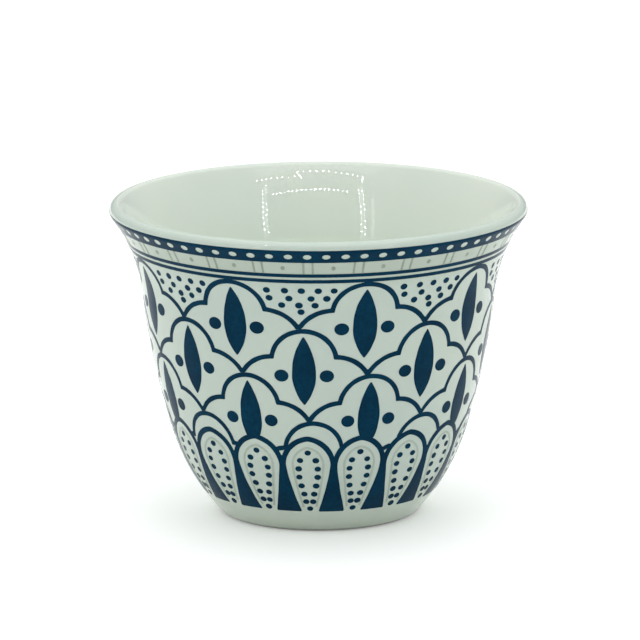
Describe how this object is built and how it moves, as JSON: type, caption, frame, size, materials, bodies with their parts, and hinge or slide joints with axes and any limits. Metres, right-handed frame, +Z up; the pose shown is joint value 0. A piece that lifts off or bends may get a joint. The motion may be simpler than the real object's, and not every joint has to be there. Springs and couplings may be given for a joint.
{
  "type": "coffee cup",
  "caption": "Small handleless coffee cup: a flared porcelain bowl on a low foot, clear glazed and printed all round with blue scallops, leaves, dots and petals.",
  "frame": {"origin": "centre of the foot ring's standing face", "axes": "+Z up the cup's axis; the side in the picture faces -Y, with +X to its right"},
  "size_m": [0.0701, 0.07, 0.0528],
  "materials": {
    "porcelain": "fired, unglazed on the foot ring",
    "glaze": "clear gloss glaze",
    "blue_print": "cobalt blue printed enamel, fired gloss",
    "grey_print": "pale grey printed enamel, fired gloss"
  },
  "bodies": {
    "root": {"porcelain_body": "porcelain", "glaze_coat": "glaze", "foot_glaze": "glaze", "rim_band": "blue_print", "panel_lines": "grey_print", "panel_dots": "grey_print", "pinstripe_upper": "blue_print", "pinstripe_lower": "blue_print", "field_dots": "blue_print", "scallops_top": "blue_print", "scallops_middle": "blue_print", "scallops_lower": "blue_print", "scallop_arches": "blue_print", "scallop_leaves": "blue_print", "leaf_dots": "blue_print", "petal_border": "blue_print", "petal_outlines": "grey_print", "petal_dots": "blue_print"}
  },
  "joints": []
}
